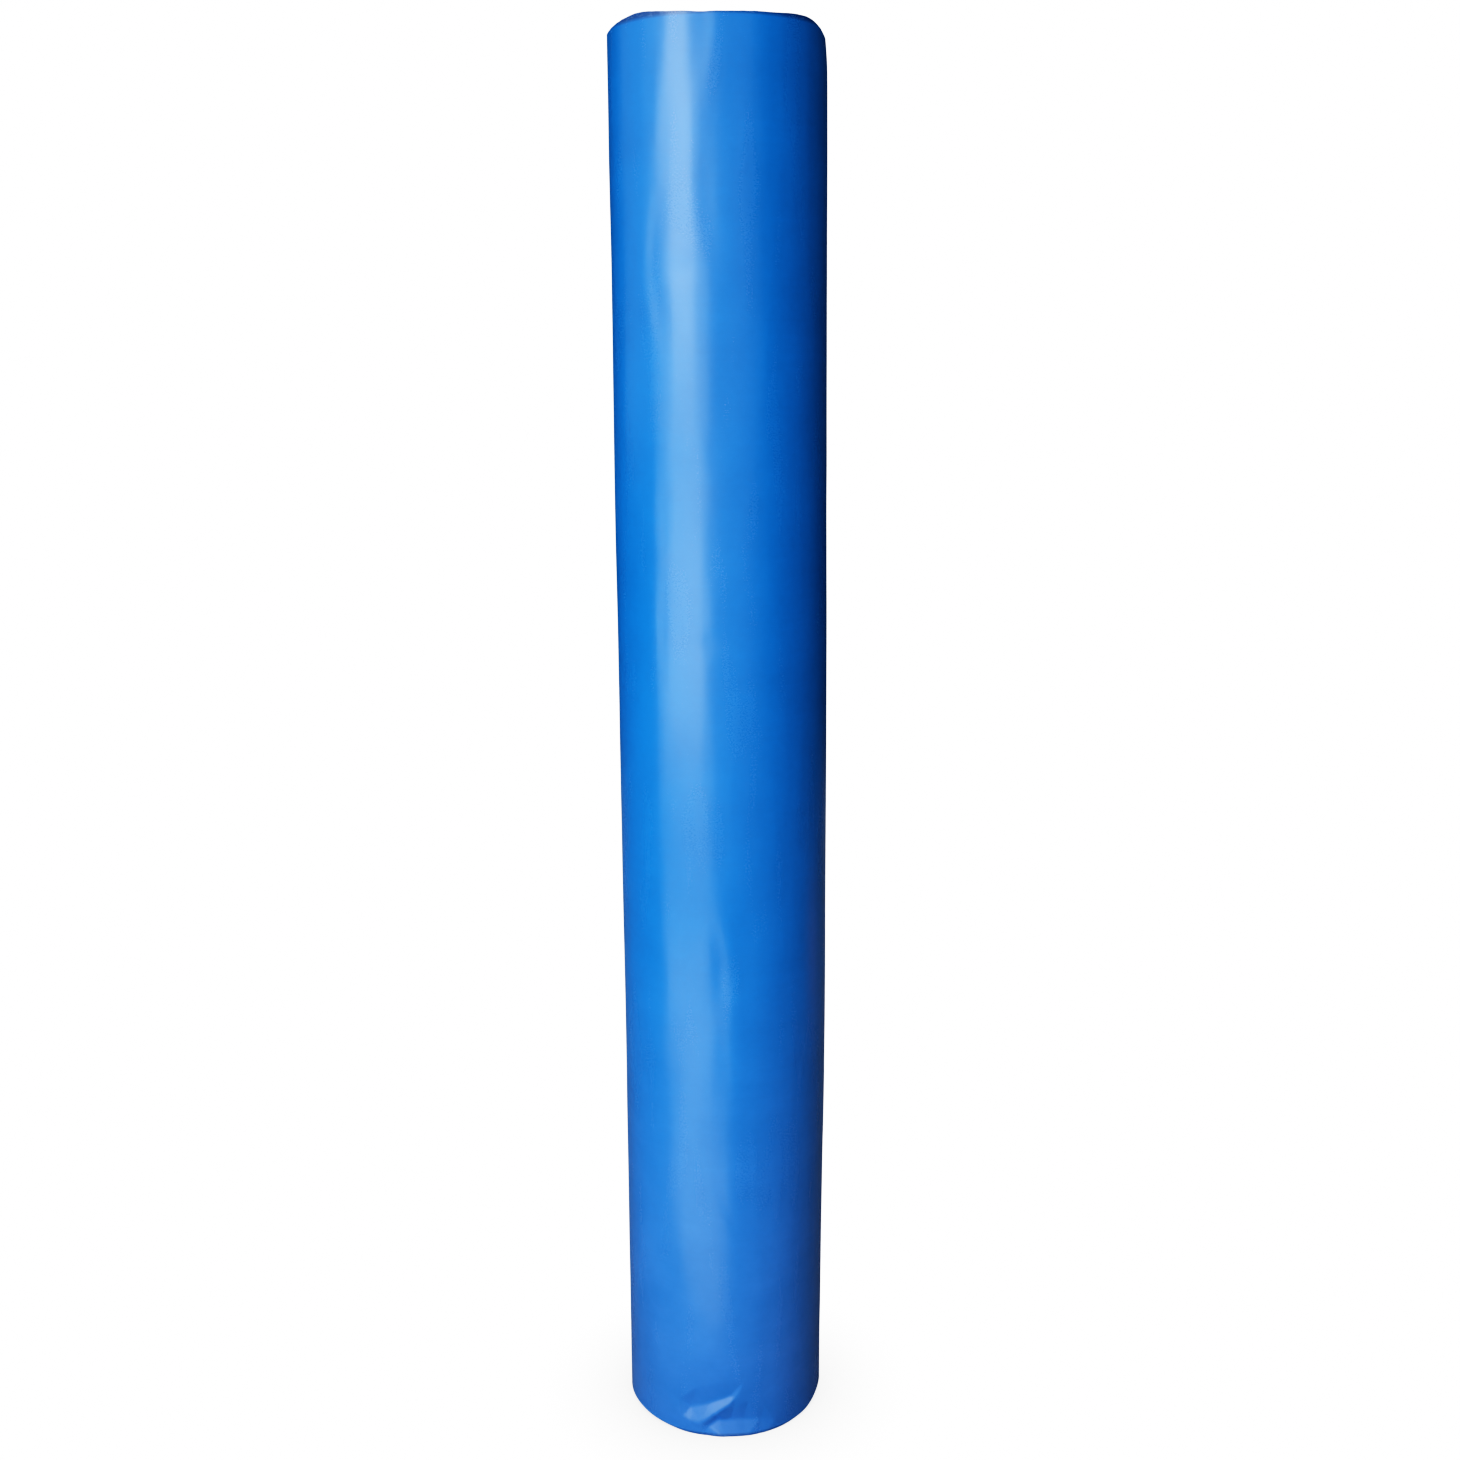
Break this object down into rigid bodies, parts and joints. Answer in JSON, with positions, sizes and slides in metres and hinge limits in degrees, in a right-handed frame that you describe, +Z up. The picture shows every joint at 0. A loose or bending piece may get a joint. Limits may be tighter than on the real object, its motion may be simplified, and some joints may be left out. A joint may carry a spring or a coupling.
{
  "type": "backdrop paper roll",
  "caption": "Roll of satin blue seamless backdrop paper on a spiral-wound board core, closed with tape tabs, with a free end that opens off the roll.",
  "frame": {"origin": "On the axis of the core's bore, in the plane of the lower end of the wound paper, which is the end that the roll stands on", "axes": "+Z runs up along the core's bore from the lower end to the upper end; +X and +Y lie across the roll, and the last layer of paper leaves the roll near +X and its free edge is taped down at 150 degrees from +X towards +Y, so the closed front faces -Y"},
  "size_m": [0.0982, 0.0982, 0.66],
  "materials": {
    "blue_paper": "satin",
    "core_board": "matte",
    "masking_tape": "creped matte"
  },
  "bodies": {
    "roll": {"core_liner": "core_board", "core_body_ply_1": "core_board", "core_body_ply_2": "core_board", "core_body_ply_3": "core_board", "core_body_ply_4": "core_board", "core_facing_ply": "core_board", "start_tape_bottom": "masking_tape", "start_tape_middle": "masking_tape", "start_tape_top": "masking_tape", "wound_paper": "blue_paper", "outer_wrap": "blue_paper"},
    "leader_1": {"leader_strip_1": "blue_paper"},
    "leader_2": {"leader_strip_2": "blue_paper"},
    "leader_3": {"leader_strip_3": "blue_paper"},
    "leader_4": {"leader_strip_4": "blue_paper"},
    "leader_5": {"leader_strip_5": "blue_paper"},
    "leader_6": {"leader_strip_6": "blue_paper"},
    "leader_7": {"leader_strip_7": "blue_paper"},
    "leader_8": {"leader_free_edge": "blue_paper", "tape_tab_bottom": "masking_tape", "tape_tab_middle": "masking_tape", "tape_tab_top": "masking_tape"}
  },
  "joints": [
    {"name": "leader_bend_1", "type": "hinge", "parent": "roll", "child": "leader_1", "pos_m": [0.04743, 0.01275, 0.33], "axis": [0, 0, -1], "range_deg": [0, 10], "stiffness_Nm_per_rad": 0.05},
    {"name": "leader_bend_2", "type": "hinge", "parent": "leader_1", "child": "leader_2", "pos_m": [0.04252, 0.0246, 0.33], "axis": [0, 0, -1], "range_deg": [0, 10], "stiffness_Nm_per_rad": 0.05},
    {"name": "leader_bend_3", "type": "hinge", "parent": "leader_2", "child": "leader_3", "pos_m": [0.03471, 0.03478, 0.33], "axis": [0, 0, -1], "range_deg": [0, 10], "stiffness_Nm_per_rad": 0.05},
    {"name": "leader_bend_4", "type": "hinge", "parent": "leader_3", "child": "leader_4", "pos_m": [0.02453, 0.04259, 0.33], "axis": [0, 0, -1], "range_deg": [0, 10], "stiffness_Nm_per_rad": 0.05},
    {"name": "leader_bend_5", "type": "hinge", "parent": "leader_4", "child": "leader_5", "pos_m": [0.01268, 0.0475, 0.33], "axis": [0, 0, -1], "range_deg": [0, 10], "stiffness_Nm_per_rad": 0.05},
    {"name": "leader_bend_6", "type": "hinge", "parent": "leader_5", "child": "leader_6", "pos_m": [-0.00004, 0.04918, 0.33], "axis": [0, 0, -1], "range_deg": [0, 10], "stiffness_Nm_per_rad": 0.05},
    {"name": "leader_bend_7", "type": "hinge", "parent": "leader_6", "child": "leader_7", "pos_m": [-0.01276, 0.0475, 0.33], "axis": [0, 0, -1], "range_deg": [0, 10], "stiffness_Nm_per_rad": 0.05},
    {"name": "leader_bend_8", "type": "hinge", "parent": "leader_7", "child": "leader_8", "pos_m": [-0.02462, 0.04259, 0.33], "axis": [0, 0, -1], "range_deg": [0, 10], "stiffness_Nm_per_rad": 0.05}
  ],
  "couplings": [
    {"joint": "leader_bend_2", "follows": "leader_bend_1", "ratio": 1},
    {"joint": "leader_bend_3", "follows": "leader_bend_1", "ratio": 1},
    {"joint": "leader_bend_4", "follows": "leader_bend_1", "ratio": 1},
    {"joint": "leader_bend_5", "follows": "leader_bend_1", "ratio": 1},
    {"joint": "leader_bend_6", "follows": "leader_bend_1", "ratio": 1},
    {"joint": "leader_bend_7", "follows": "leader_bend_1", "ratio": 1},
    {"joint": "leader_bend_8", "follows": "leader_bend_1", "ratio": 1}
  ]
}
